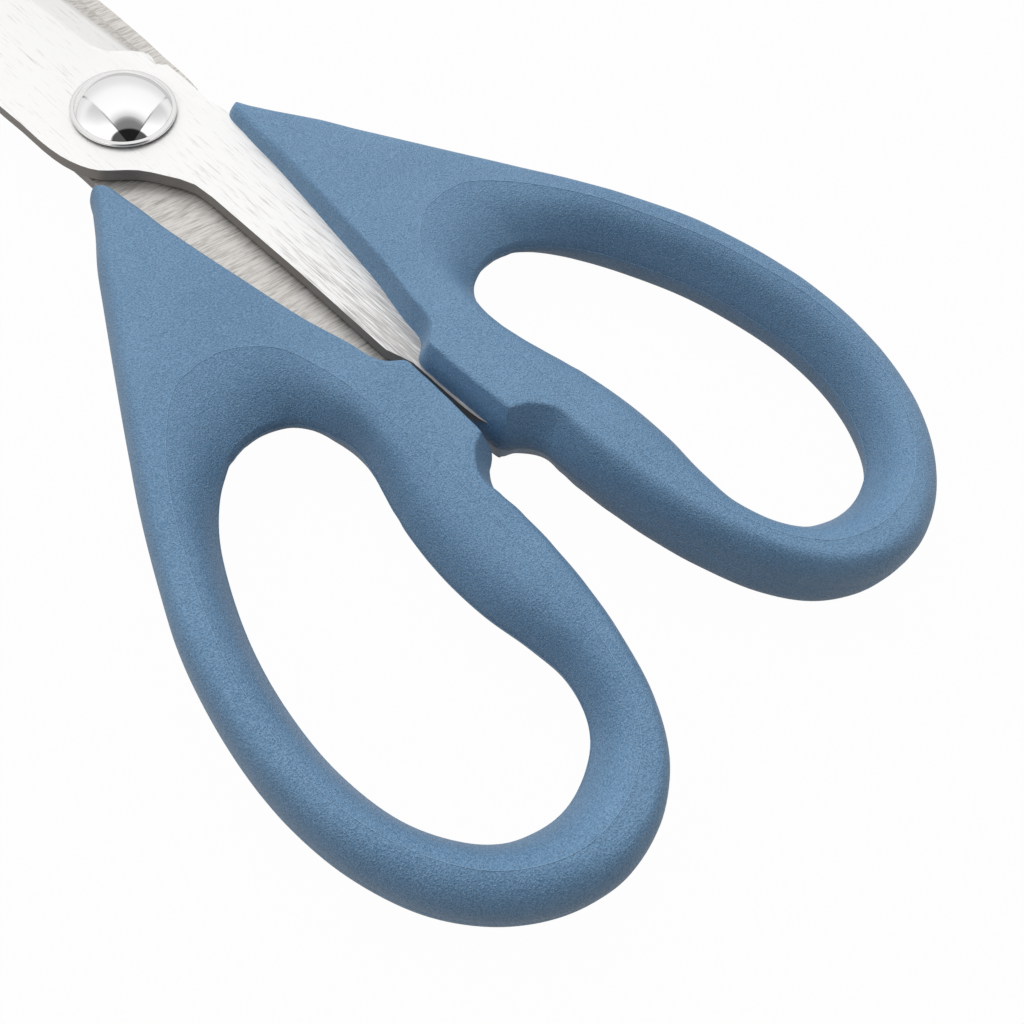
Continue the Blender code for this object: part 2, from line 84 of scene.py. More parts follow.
# A handle, station by station round the loop: outer edge, crease and finger hole as shares of
# the reach and of the end, then the edge rounding, how crisp that edge is and how full the
# dish swells
HANDLE_STATION_SHARES = (
    (0.250, 0.071, 0.404, 0.349, 0.443, 0.430, 0.42, 0.0, 0.15),
    (0.286, 0.094, 0.422, 0.348, 0.454, 0.430, 0.40, 0.0, 0.15),
    (0.328, 0.121, 0.445, 0.349, 0.467, 0.431, 0.42, 0.0, 0.15),
    (0.389, 0.157, 0.463, 0.350, 0.479, 0.432, 0.47, 0.0, 0.15),
    (0.458, 0.205, 0.483, 0.351, 0.494, 0.434, 0.55, 0.0, 0.15),
    (0.591, 0.299, 0.517, 0.358, 0.512, 0.436, 0.57, 0.0, 0.20),
    (0.681, 0.364, 0.564, 0.374, 0.539, 0.443, 0.55, 0.0, 0.30),
    (0.769, 0.430, 0.640, 0.410, 0.593, 0.460, 0.50, 0.0, 0.38),
    (0.858, 0.505, 0.724, 0.464, 0.663, 0.493, 0.47, 0.0, 0.38),
    (0.917, 0.561, 0.798, 0.528, 0.728, 0.540, 0.47, 0.0, 0.32),
    (0.962, 0.626, 0.863, 0.596, 0.793, 0.605, 0.50, 0.0, 0.32),
    (0.991, 0.692, 0.903, 0.665, 0.834, 0.674, 0.55, 0.0, 0.42),
    (1.000, 0.752, 0.924, 0.738, 0.849, 0.748, 0.65, 0.0, 0.52),
    (0.982, 0.821, 0.908, 0.805, 0.825, 0.820, 0.80, 0.0, 0.55),
    (0.926, 0.890, 0.863, 0.862, 0.766, 0.871, 0.95, 0.0, 0.50),
    (0.843, 0.940, 0.791, 0.910, 0.701, 0.900, 1.00, 0.0, 0.42),
    (0.746, 0.974, 0.699, 0.941, 0.631, 0.914, 0.97, 0.0, 0.36),
    (0.649, 0.993, 0.625, 0.954, 0.571, 0.919, 0.88, 0.0, 0.32),
    (0.551, 1.000, 0.544, 0.958, 0.515, 0.917, 0.72, 0.0, 0.32),
    (0.425, 0.989, 0.454, 0.951, 0.447, 0.907, 0.57, 0.0, 0.30),
    (0.317, 0.958, 0.366, 0.932, 0.393, 0.892, 0.50, 0.0, 0.30),
    (0.234, 0.909, 0.292, 0.893, 0.353, 0.869, 0.50, 0.0, 0.38),
    (0.171, 0.841, 0.243, 0.840, 0.324, 0.831, 0.53, 0.0, 0.62),
    (0.137, 0.785, 0.218, 0.788, 0.330, 0.786, 0.57, 0.0, 1.00),
    (0.117, 0.734, 0.203, 0.738, 0.348, 0.735, 0.57, 0.1, 1.30),
    (0.103, 0.692, 0.194, 0.687, 0.351, 0.687, 0.57, 0.4, 1.42),
    (0.097, 0.665, 0.191, 0.654, 0.344, 0.651, 0.57, 0.7, 1.45),
    (0.092, 0.643, 0.190, 0.634, 0.335, 0.627, 0.57, 1.0, 1.45),
    (0.065, 0.626, 0.190, 0.621, 0.328, 0.612, 0.53, 1.0, 1.45),
    (0.034, 0.617, 0.189, 0.610, 0.319, 0.600, 0.47, 1.0, 1.45),
    (0.016, 0.607, 0.188, 0.598, 0.312, 0.588, 0.42, 1.0, 1.42),
    (0.013, 0.581, 0.188, 0.578, 0.297, 0.569, 0.38, 1.0, 1.40),
    (0.011, 0.547, 0.189, 0.542, 0.276, 0.542, 0.35, 1.0, 1.30),
    (0.009, 0.511, 0.192, 0.511, 0.263, 0.520, 0.35, 1.0, 1.12),
    (0.016, 0.482, 0.197, 0.484, 0.263, 0.500, 0.33, 1.0, 0.87),
    (0.065, 0.464, 0.201, 0.464, 0.274, 0.484, 0.30, 1.0, 0.60),
    (0.081, 0.428, 0.216, 0.429, 0.285, 0.470, 0.33, 1.0, 0.38),
    (0.110, 0.374, 0.243, 0.392, 0.303, 0.456, 0.34, 1.0, 0.25),
    (0.144, 0.280, 0.285, 0.371, 0.328, 0.444, 0.35, 0.8, 0.19),
    (0.175, 0.187, 0.330, 0.357, 0.362, 0.436, 0.38, 0.5, 0.16),
    (0.191, 0.117, 0.371, 0.350, 0.400, 0.431, 0.40, 0.2, 0.15),
    (0.205, 0.080, 0.389, 0.350, 0.422, 0.430, 0.42, 0.0, 0.15),
)

# Columns of that table where each pair of shares begins, and the edge's own values after them
OUTER_EDGE = 0
CREASE = 2
FINGER_HOLE = 4
EDGE_VALUES = 6

# Witness line where the two halves of the mould meet
PARTING_RADIUS = 0.00003
CREASE_LINE_RADIUS = 0.00005
BEAD_STEPS = 6
BEAD_SHARP = math.radians(70.0)

# Blades
BLADE_EDGE_RADIUS = 0.00010
BLADE_EDGE_STEPS = 2
BLADE_EDGE_ANGLE = math.radians(40.0)     # edges sharper than this are broken
BLADE_FLAT_ANGLE = math.radians(1.0)      # faces nearer than this are one face
BLADE_SHARP = math.radians(20.0)
BLADE_MERGE = BLADE_EDGE_RADIUS / 50

# Pivot
TURNED_STEPS = 128
DOME_STEPS = 40
RING_STEPS = 16
CAP_STEPS = 16
RIM_STEPS = 8
TURNED_SHARP = math.radians(35.0)
RIM_RADIUS = 0.00022
TURNED_MERGE = RIM_RADIUS / 100
RING_HEIGHT = 0.00055
RING_LIFT = 0.00012
DOME_FOOT_RADIUS = 0.00605
DOME_CROWN = 0.0029
SHANK_RADIUS = cap_high.x / 2
SHANK_CLEARANCE = 0.0003
CAP_RIM_END = -60.0           # degrees below level where the cap's rim meets its back

# Slate blue plastic, colours in linear light from dark to light
SLATE_TONES = ((0.078, 0.168, 0.286), (0.164, 0.290, 0.448))
# painted highlight: the witness lines are coloured lighter than the slate, for the light that their
# edges catch
WITNESS_HIGHLIGHT_TONES = ((0.170, 0.300, 0.460), (0.230, 0.380, 0.550))
SLATE_STOPS = (0.48, 0.87)    # grain values that show the dark and the light tone
# painted glints: the specks are coloured lighter, for the highlights that the grain catches
SLATE_PAINTED_GLINT = (0.380, 0.520, 0.680)
PAINTED_GLINT_SHARE = 0.42
SHEEN_TINT = (0.78, 0.90, 1.0)
SPARK_TEXTURE = {"Grain scale": 5600.0, "Speck scale": 2900.0, "Drift scale": 55.0}
GRAIN_DETAIL = 1.0
DRIFT_DETAIL = 3.0
DRIFT_WEIGHT = 0.35
SPECK_RIM = (0.27, 0.12)      # distance from a speck's middle where it starts and is full
SPECK_HEIGHT = 0.5            # height of a speck against the grain
SPARK_STRENGTH = 1.0
SPARK_DEPTH = 0.00011
PLASTIC_ROUGHNESS = 0.42
PLASTIC_ROUGH_SPAN = (0.44, 0.30)
NOISE_SPAN = (0.3, 0.7)       # what a noise texture mostly gives

# Satin steel
STEEL_FACE = ((0.47, 0.455, 0.44), (0.91, 0.905, 0.895))
STEEL_INNER = ((0.38, 0.36, 0.335), (0.70, 0.675, 0.645))
STEEL_WALL_SHEAR_AND_SHADE = (0.29, 0.265, 0.245)         # sheared walls of the stampings, darkened further with painted shade
FACE_STOPS = (0.40, 0.64)
INNER_STOPS = (0.45, 0.72)
WALL_SPAN = (0.25, 0.80)      # how level a wall and a face lie
FACE_BRUSH = {"Angle": 0.0, "Line scale": 6200.0, "Stretch": 0.04}
INNER_BRUSH = {"Angle": math.radians(98.0), "Line scale": 5200.0, "Stretch": 0.09}
FINE_DETAIL = 3.0
FINE_ROUGHNESS = 0.65
BROAD_DETAIL = 2.0
BROAD_SCALE_SHARE = 0.38
BROAD_WEIGHT = 0.30
BRUSH_STRENGTH = 0.5
BRUSH_DEPTH = 0.00003
STEEL_METALLIC = 0.72         # satin steel scatters part of the light
STEEL_ROUGHNESS = 0.40
STEEL_ROUGH_SPAN = (0.34, 0.50)
LAYER_BLEND = 0.0001
TANG_END = -0.056             # where the tang goes into the handle
TANG_PAINTED_SHADE = -0.36             # painted shade: how much darker the outer face is painted there
BOSS_PAINTED_LIGHT = 0.08              # painted light: how much brighter the outer face is painted at the pivot
TANG_POWER = 2.0

# Chrome
DOME_TONE = (0.93, 0.93, 0.93)
RING_TONE = (0.80, 0.795, 0.79)
CAP_TONE = (0.84, 0.84, 0.84)
PAINTED_FOOT_SHADE = 0.14             # painted shade: how dark the chrome is painted at the foot of a piece
POLISH_BRUSH = {"Angle": 0.6, "Line scale": 2400.0, "Stretch": 0.2}
POLISH_STRENGTH = 0.05
POLISH_DEPTH = 0.00002
CHROME_ROUGHNESS = 0.05
CHROME_ROUGH_SPAN = (0.03, 0.08)

# Camera
CAMERA_PLACE = Vector((-0.0585, -0.1036, 0.1159 + PIVOT_HEIGHT))
CAMERA_ELEVATION = math.radians(61.6)
CAMERA_TURN = math.radians(-59.7)
CAMERA_ROLL = math.radians(14.9)
CAMERA_LENS = 41.85
CAMERA_CLIP = 0.005
SENSOR_WIDTH = 36.0

# Softboxes: name, direction from the scissors, width, height and power
KEY_DIRECTION = Vector((0.32, 0.60, 0.73))
SOFTBOXES = (
    ("key_softbox", KEY_DIRECTION, 0.9, 0.7, 5.4),
    ("left_softbox", Vector((-0.76, 0.22, 0.60)), 0.5, 0.4, 1.8),
    ("right_softbox", Vector((0.61, -0.63, 0.46)), 0.5, 0.4, 1.1),
)
SOFTBOX_DISTANCE = 0.9
SOFTBOX_AIM = Vector((0.0, -0.05, 0.0))

# Floor and surroundings
FLOOR_SIZE = 3.0
FLOOR_TONE = 0.30
FLOOR_GLOW = 1.0
FLOOR_SEEN = 0.98             # share of its glow that the camera sees
FLOOR_MIRRORED = 0.4          # share of its glow that metal mirrors
BACKDROP_WHITE = 0.985        # the floor's own white, so that no horizon shows
PURE_WHITE = (1.0, 1.0, 1.0, 1.0)
AMBIENT_LOW = 0.11
AMBIENT_HIGH = 0.70
AMBIENT_SPAN = (-0.5, 1.0)    # from away from the key to straight at it

# What polished metal mirrors: tent tones from behind the object round to the camera, the side
# boards either side of the lens and the lens itself, as shares of the view's directions
TENT_ENDS = (0.81, 0.20)
TENT_STOPS = (
    (0.20, 0.81), (0.28, 0.83), (0.36, 0.90), (0.44, 0.99), (0.52, 1.03), (0.64, 1.05),
    (0.80, 1.08), (0.83, 1.04), (0.86, 0.93), (0.90, 0.71), (0.92, 0.39), (0.945, 0.24),
)
BOARD_SLOPE = 1.4
BOARD_START = 0.30
BOARD_EDGE = (-0.02, 0.02)    # softness of a board's edge
BOARD_DEPTH = (-0.3, 0.1)     # where the boards begin, past the object
BOARD_ACROSS = (0.60, 0.84)   # from a board's near part to its outer part
BOARD_CLIMB = (0.05, 0.66)    # from a board's low part to its top
BOARD_NEAR = 1.35
BOARD_LIGHT = 1.2
BOARD_TOP = 0.68
SEAM_WIDTH = 0.05
SEAM_TONE = 0.30
SEAM_FADE = (0.45, 0.70)      # height where the seams run out
LENS_WIDE = 0.58
LENS_TALL = 0.40
LENS_DROP = 0.16
LENS_EDGE = (0.8, 1.1)
LENS_DEPTH = (0.3, 0.5)
LENS_DARK = 0.93
HORIZON_START = 0.02
HORIZON_END = 0.36
HORIZON_TONE = 0.12
FAR_SIDE = (0.05, 0.40)       # the dark horizon lies on the camera's side only


# Curves in plan

def mix(first, second, low, high, place):
    """Point at a place between two points that stand at low and high."""
    return (first * (high - place) + second * (place - low)) / (high - low)


def spline_point(before, start, end, after, share):
    """Point of a centripetal spline at a share of the way from start to end."""
    points = (before, start, end, after)
    knots = [0.0]
    for first, second in zip(points, points[1:]):
        knots.append(knots[-1] + math.sqrt(max((second - first).length, LEAST_CHORD)))
    place = knots[1] + (knots[2] - knots[1]) * share
    lines = [mix(points[i], points[i + 1], knots[i], knots[i + 1], place) for i in range(3)]
    bends = [mix(lines[i], lines[i + 1], knots[i], knots[i + 2], place) for i in range(2)]
    return mix(bends[0], bends[1], knots[1], knots[2], place)


def smooth_ring(points):
    """Closed smooth curve through the stations' points."""
    count = len(points)
    ring = []
    for i in range(count):
        span = [points[(i + step) % count] for step in (-1, 0, 1, 2)]
        for split in range(STATION_SPLITS):
            ring.append(spline_point(*span, split / STATION_SPLITS))
    return ring


def smooth_values(values):
    """Section shares eased from station to station."""
    count = len(values)
    trims = []
    for i in range(count):
        for split in range(STATION_SPLITS):
            share = split / STATION_SPLITS
            ease = share * share * (3 - 2 * share)
            trims.append(values[i].lerp(values[(i + 1) % count], ease))
    return trims


def inward_normals(ring):
    """Unit normals of a closed ring that runs clockwise, pointing into it."""
    count = len(ring)
    normals = []
    for i in range(count):
        run = (ring[(i + 1) % count] - ring[i - 1]).normalized()
        normals.append(Vector((run.y, -run.x)))
    for turn in range(NORMAL_PASSES):
        normals = [
            (normals[i - 1] + normals[i] * 2 + normals[(i + 1) % count]).normalized()
            for i in range(count)
        ]
    return normals


# Making and placing pieces

def new_piece(name, mesh, body, slot, *nodes):
    """Add a finished piece at the origin, riding on its body in place of its solids."""
    piece = bpy.data.objects.new(name, mesh)
    bpy.context.scene.collection.objects.link(piece)
    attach(piece, body)
    if nodes:
        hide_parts(*nodes)
    return piece


def evaluated_mesh(thing):
    """Plain mesh of an object with its modifiers; the object is then removed."""
    bpy.context.view_layer.update()
    graph = bpy.context.evaluated_depsgraph_get()
    mesh = bpy.data.meshes.new_from_object(thing.evaluated_get(graph))
    bpy.data.objects.remove(thing)
    return mesh


def working_object(name, data):
    """Object in the scene that carries no body or slot of its own."""
    thing = bpy.data.objects.new(name, data)
    bpy.context.scene.collection.objects.link(thing)
    return thing


def closed_mesh(shape, name, material, sharp_angle):
    """Mesh of a closed bmesh with outward faces and smooth shading."""
    bmesh.ops.recalc_face_normals(shape, faces=shape.faces)
    mesh = bpy.data.meshes.new(name)
    shape.to_mesh(mesh)
    shape.free()
    mesh.materials.append(material)
    mesh.shade_smooth()
    mesh.set_sharp_from_angle(angle=sharp_angle)
    return mesh


# Handles

def top_height(y):
    """Half height of a handle at a place along it: the wedge rises from the nose."""
    nose = -HANDLE_STATION_SHARES[0][1] * HANDLE_END
    full = -WEDGE_RUN_SHARE * HANDLE_END
    share = min(max((nose - y) / (nose - full), 0.0), 1.0)
    return NOSE_HEIGHT + (FULL_HEIGHT - NOSE_HEIGHT) * share


def station_points(column):
    """Smooth ring through the outer edge, the crease or the finger hole of all stations."""
    shares = [(row[column], row[column + 1]) for row in HANDLE_STATION_SHARES]
    points = [Vector((x * HANDLE_REACH, -y * HANDLE_END)) for x, y in shares]
    ring = smooth_ring(points)
    for point in ring:
        point.x = max(point.x, LEAST_SIDE)
    return ring


def edge_profile(width, rise, crispness):
    """Inset and climb along the outer edge, from an arc to a leaning wall with a small corner."""
    slope = math.hypot(width, rise)
    radius = min(CORNER_RADIUS, width / 2)
    wall_end = Vector((width, rise)) * (1 - radius / slope)
    corner = Vector((width, rise))
    top_end = Vector((width + radius, rise))
    wall_steps = ROUND_STEPS // 2
    points = []
    for step in range(1, ROUND_STEPS + 1):
        turn = math.pi / 2 * step / ROUND_STEPS
        soft = Vector((width * (1 - math.cos(turn)), rise * math.sin(turn)))
        if step <= wall_steps:
            crisp = wall_end * (step / wall_steps)
        else:
            share = (step - wall_steps) / (ROUND_STEPS - wall_steps)
            crisp = wall_end.lerp(corner, share).lerp(corner.lerp(top_end, share), share)
        points.append(soft.lerp(crisp, crispness))
    return points


def upper_section(outer, normal, crease, hole, trims):
    """Points of one station from the parting line over the top and down to the hole."""
    width = trims.x * EDGE_ROUND
    fade = max(1 + outer.y / (CRISP_END_SHARE * HANDLE_END), 0.0)
    crispness = max(trims.y, WEDGE_CRISPNESS * fade)
    height = top_height(outer.y)
    most = height * ROUND_LIMIT_SHARE
    rise = min(width * EDGE_TALL_SHARE, most)
    rise += (most - rise) * crispness
    points = [(outer, 0.0), (outer, height - rise)]
    for edge in edge_profile(width, rise, crispness):
        points.append((outer + normal * edge.x, height - rise + edge.y))
    rim = points[-1][0]
    for share in TOP_SHARES:
        place = rim.lerp(crease, share)
        settled = min(share / TOP_SETTLE_SHARE, 1)
        points.append((place, height + (top_height(place.y) - height) * settled))
    crease_height = points[-1][1]
    power = DISH_POWER + FULLNESS_SHARE * trims.z
    kink = KINK_SHARE * (1 - trims.z / 2)
    edge = hole + (crease - hole).normalized() * HOLE_DRAFT
    turns = [math.sin(math.pi / 2 * step / DISH_STEPS) for step in range(1, DISH_STEPS + 1)]
    for share in [CREASE_SHARE] + turns:
        fall = kink * share + (1 - kink) * share ** power
        drop = (HOLE_LAND - crease_height) * fall
        points.append((crease.lerp(edge, share), crease_height + drop))
    points.append((hole, 0.0))
    return points


def moulded_handle(name, side, material):
    """Mesh of a loop handle on the right (side 1) or the left (side -1)."""
    outer = station_points(OUTER_EDGE)
    crease = station_points(CREASE)
    hole = station_points(FINGER_HOLE)
    trims = smooth_values([Vector(row[EDGE_VALUES:]) for row in HANDLE_STATION_SHARES])
    normals = inward_normals(outer)
    shape = bmesh.new()
    rings = []
    for values in zip(outer, normals, crease, hole, trims):
        upper = upper_section(*values)
        lower = [(place, -height) for place, height in upper[-2:0:-1]]
        section = [(side * p.x, p.y, PIVOT_HEIGHT + z) for p, z in upper + lower]
        rings.append([shape.verts.new(point) for point in section])
    for i, ring in enumerate(rings):
        after = rings[(i + 1) % len(rings)]
        for j in range(len(ring)):
            k = (j + 1) % len(ring)
            shape.faces.new((ring[j], ring[k], after[k], after[j]))
    return closed_mesh(shape, name, material, HANDLE_SHARP)


# Blades

def ground_blade(node, material):
    """Fine copy of a stamped blade, its edges broken by a small radius."""
    shape = bmesh.new()
    shape.from_mesh(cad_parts[node].data)
    bmesh.ops.remove_doubles(shape, verts=shape.verts, dist=BLADE_MERGE)
    bmesh.ops.dissolve_limit(
        shape, angle_limit=BLADE_FLAT_ANGLE, verts=shape.verts, edges=shape.edges)
    mesh = bpy.data.meshes.new(node)
    shape.to_mesh(mesh)
    shape.free()
    blade = working_object(node, mesh)
    bevel = blade.modifiers.new("broken_edges", "BEVEL")
    bevel.width = BLADE_EDGE_RADIUS
    bevel.segments = BLADE_EDGE_STEPS
    bevel.limit_method = "ANGLE"
    bevel.angle_limit = BLADE_EDGE_ANGLE
    mesh = evaluated_mesh(blade)
    mesh.materials.clear()
    mesh.materials.append(material)
    mesh.shade_smooth()
    mesh.set_sharp_from_angle(angle=BLADE_SHARP)
    return mesh


# Pivot

def turned(name, profile, material):
    """Piece of revolution about the pivot from a profile of radius and height."""
    mesh = bpy.data.meshes.new(name)
    edges = [(i, i + 1) for i in range(len(profile) - 1)]
    mesh.from_pydata([(radius, 0, height) for radius, height in profile], edges, [])
    piece = working_object(name, mesh)
    screw = piece.modifiers.new("turn", "SCREW")
    screw.steps = TURNED_STEPS
    screw.render_steps = TURNED_STEPS
    screw.use_merge_vertices = True
    screw.merge_threshold = TURNED_MERGE
    shape = bmesh.new()
    shape.from_mesh(evaluated_mesh(piece))
    bmesh.ops.remove_doubles(shape, verts=shape.verts, dist=TURNED_MERGE)
    return closed_mesh(shape, name, material, TURNED_SHARP)


def arc(centre, radius, start, end, steps):
    """Points of an arc in the profile plane, angles in degrees from the outward direction."""
    points = []
    for step in range(steps + 1):
        turn = math.radians(start + (end - start) * step / steps)
        points.append((centre[0] + radius * math.cos(turn), centre[1] + radius * math.sin(turn)))
    return points


def cap_arc(radius, base, height, steps):
    """Shallow spherical cap from its top out to its edge."""
    sphere = (radius * radius + height * height) / (2 * abs(height))
    widest = math.asin(radius / sphere)
    points = []
    for step in range(steps + 1):
        turn = widest * step / steps
        drop = sphere * (1 - math.cos(turn))
        points.append((sphere * math.sin(turn), base + height - math.copysign(drop, height)))
    return points


def rivet_dome(material):
    """Domed head whose foot sits in the ring, and the shank below it."""
    foot = blade_high.z + RING_HEIGHT
    radius = DOME_FOOT_RADIUS
    profile = cap_arc(radius, foot, DOME_CROWN, DOME_STEPS)
    profile += [(radius, foot - RIM_RADIUS), (SHANK_RADIUS, foot - RIM_RADIUS)]
    profile += [(SHANK_RADIUS, rivet_low.z), (0, rivet_low.z)]
    return turned("rivet_dome", profile, material)


def rivet_washer(material):
    """Ring round the foot of the dome with a rolled outer edge, resting on the blade."""
    bore = SHANK_RADIUS + SHANK_CLEARANCE
    half = RING_HEIGHT / 2
    middle = blade_high.z + RING_LIFT + half
    outer = arc((washer_high.x - half, middle), half, 90, -90, RING_STEPS)
    low = middle - half
    inside = DOME_FOOT_RADIUS - RING_LIFT
    step_low = middle - half / 2
    profile = [(bore, step_low), (inside, step_low), (inside, middle + half)]
    profile += outer + [(bore, low), (bore, step_low)]
    return turned("rivet_washer", profile, material)


def rivet_cap(material):
    """Closed cap on the shank's end, under the lower blade."""
    radius = cap_high.x
    height = cap_high.z - cap_low.z
    rim = cap_high.z - RIM_RADIUS * 2
    profile = [(0, cap_high.z), (radius - RIM_RADIUS, cap_high.z)]
    middle = (radius - RIM_RADIUS, cap_high.z - RIM_RADIUS)
    profile += arc(middle, RIM_RADIUS, 90, CAP_RIM_END, RIM_STEPS)
    back = cap_arc(radius - RIM_RADIUS / 2, rim, -(height - RIM_RADIUS * 2), CAP_STEPS)
    profile += back[::-1]
    return turned("rivet_cap", profile, material)


# Witness line of the mould

def bead_tree():
    """Geometry Nodes tree that sweeps a fine bead along a closed path."""
    tree = bpy.data.node_groups.new("witness_bead", "GeometryNodeTree")
    face = tree.interface
    face.new_socket("Path", in_out="INPUT", socket_type="NodeSocketGeometry")
    face.new_socket("Bead radius", in_out="INPUT", socket_type="NodeSocketFloat")
    face.new_socket("Bead steps", in_out="INPUT", socket_type="NodeSocketInt")
    face.new_socket("Finish", in_out="INPUT", socket_type="NodeSocketMaterial")
    face.new_socket("Bead", in_out="OUTPUT", socket_type="NodeSocketGeometry")
    source = tree.nodes.new("NodeGroupInput")
    result = tree.nodes.new("NodeGroupOutput")
    curve = tree.nodes.new("GeometryNodeMeshToCurve")
    circle = tree.nodes.new("GeometryNodeCurvePrimitiveCircle")
    sweep = tree.nodes.new("GeometryNodeCurveToMesh")
    real = tree.nodes.new("GeometryNodeRealizeInstances")
    finish = tree.nodes.new("GeometryNodeSetMaterial")
    link = tree.links.new
    link(source.outputs["Path"], curve.inputs["Mesh"])
    link(source.outputs["Bead steps"], circle.inputs["Resolution"])
    link(source.outputs["Bead radius"], circle.inputs["Radius"])
    link(curve.outputs["Curve"], sweep.inputs["Curve"])
    link(circle.outputs["Curve"], sweep.inputs["Profile Curve"])
    link(sweep.outputs["Mesh"], real.inputs["Geometry"])
    link(real.outputs["Geometry"], finish.inputs["Geometry"])
    link(source.outputs["Finish"], finish.inputs["Material"])
    link(finish.outputs["Geometry"], result.inputs["Bead"])
    return tree


def set_input(modifier, name, value):
    """Set a Geometry Nodes input by the identifier of its socket."""
    for item in modifier.node_group.interface.items_tree:
        if item.item_type == "SOCKET" and item.in_out == "INPUT" and item.name == name:
            modifier[item.identifier] = value


def crease_ring():
    """Crease of a handle at the height where the top meets the dish."""
    return [(point.x, point.y, top_height(point.y)) for point in station_points(CREASE)]


def parting_ring(column):
    """Outline of a handle at the height where the two halves of the mould meet."""
    return [(point.x, point.y, 0.0) for point in station_points(column)]


def witness_line(name, tree, rings, side, radius, material):
    """Fine beads along closed paths, half sunk in the moulding."""
    points = []
    edges = []
    for ring in rings:
        start = len(points)
        points += [(side * x, y, PIVOT_HEIGHT + z) for x, y, z in ring]
        edges += [(start + i, start + (i + 1) % len(ring)) for i in range(len(ring))]
    mesh = bpy.data.meshes.new(name)
    mesh.from_pydata(points, edges, [])
    path = working_object(name, mesh)
    sweep = path.modifiers.new("bead", "NODES")
    sweep.node_group = tree
    set_input(sweep, "Bead radius", radius)
    set_input(sweep, "Bead steps", BEAD_STEPS)
    set_input(sweep, "Finish", material)
    shape = bmesh.new()
    shape.from_mesh(evaluated_mesh(path))
    return closed_mesh(shape, name, material, BEAD_SHARP)


# Shader nodes

def feed(link, value, socket):
    """Link an input to another socket, or set it to a number."""
    if isinstance(value, float):
        socket.default_value = value
    else:
        link(value, socket)


def combined(nodes, link, operation, first, second):
    """Result of a Math node on two values, each a socket or a number."""
    node = nodes.new("ShaderNodeMath")
    node.operation = operation
    feed(link, first, node.inputs[0])
    feed(link, second, node.inputs[1])
    return node.outputs["Value"]


def with_share(nodes, link, value, share, base):
    """A base, socket or number, with a share of a value added."""
    node = nodes.new("ShaderNodeMath")
    node.operation = "MULTIPLY_ADD"
    link(value, node.inputs[0])
    node.inputs[1].default_value = share
    feed(link, base, node.inputs[2])
    return node.outputs["Value"]


def ranged(nodes, link, value, low, high, to_low, to_high, course="LINEAR"):
    """Value carried from one range to another in a straight line."""
    node = nodes.new("ShaderNodeMapRange")
    node.interpolation_type = course
    node.inputs["From Min"].default_value = low
    node.inputs["From Max"].default_value = high
    node.inputs["To Min"].default_value = to_low
    node.inputs["To Max"].default_value = to_high
    link(value, node.inputs["Value"])
    return node.outputs["Result"]


def eased(nodes, link, value, low, high, to_low, to_high):
    """Value carried from one range to another with soft ends."""
    return ranged(nodes, link, value, low, high, to_low, to_high, "SMOOTHSTEP")


def blended(nodes, link, share, first, second):
    """Value that passes from the first socket to the second as the share rises."""
    node = nodes.new("ShaderNodeMix")
    link(share, node.inputs[0])
    link(first, node.inputs[2])
    link(second, node.inputs[3])
    return node.outputs[0]


def blended_tone(nodes, link, share, first, second):
    """Brightness that passes from the first to the second, a socket or a number."""
    change = combined(nodes, link, "SUBTRACT", second, first)
    return combined(nodes, link, "ADD", first, combined(nodes, link, "MULTIPLY", change, share))


def blended_colour(nodes, link, share, first, second):
    """Colour that passes from the first to the second, a socket or a fixed tone."""
    node = nodes.new("ShaderNodeMix")
    node.data_type = "RGBA"
    link(share, node.inputs[0])
    link(first, node.inputs[6])
    if isinstance(second, tuple):
        node.inputs[7].default_value = (*second, 1.0)
    else:
        link(second, node.inputs[7])
    return node.outputs[2]


def tone_ramp(nodes, link, value, tones, stops):
    """Colour that passes from the dark tone to the light one between two values."""
    ramp = nodes.new("ShaderNodeValToRGB")
    for element, tone, stop in zip(ramp.color_ramp.elements, tones, stops):
        element.color = (*tone, 1.0)
        element.position = stop
    link(value, ramp.inputs["Fac"])
    return ramp.outputs["Color"]


# Shader groups

def new_group(name, inputs, outputs):
    """Shader group whose inputs and outputs are plain values."""
    group = bpy.data.node_groups.new(name, "ShaderNodeTree")
    for label, value in inputs.items():
        socket = group.interface.new_socket(label, in_out="INPUT", socket_type="NodeSocketFloat")
        socket.default_value = value
    for label in outputs:
        group.interface.new_socket(label, in_out="OUTPUT", socket_type="NodeSocketFloat")
    source = group.nodes.new("NodeGroupInput")
    result = group.nodes.new("NodeGroupOutput")
    return group, source, result


def spark_grain():
    """Fine eroded texture of the mould: close grain, sparse specks and slow drift; the specks also
    carry painted glints.
    """
    group, source, result = new_group("spark_grain", SPARK_TEXTURE, ("Grain", "Specks", "Drift"))
    nodes = group.nodes
    link = group.links.new
    place = nodes.new("ShaderNodeTexCoord")
    grain = nodes.new("ShaderNodeTexNoise")
    grain.inputs["Detail"].default_value = GRAIN_DETAIL
    specks = nodes.new("ShaderNodeTexVoronoi")
    drift = nodes.new("ShaderNodeTexNoise")
    drift.inputs["Detail"].default_value = DRIFT_DETAIL
    for texture, scale in ((grain, "Grain scale"), (specks, "Speck scale"), (drift, "Drift scale")):
        link(place.outputs["Object"], texture.inputs["Vector"])
        link(source.outputs[scale], texture.inputs["Scale"])
    speck_mask = ranged(nodes, link, specks.outputs["Distance"], *SPECK_RIM, 0.0, 1.0)
    link(grain.outputs["Fac"], result.inputs["Grain"])
    link(speck_mask, result.inputs["Specks"])
    link(drift.outputs["Fac"], result.inputs["Drift"])
    return group


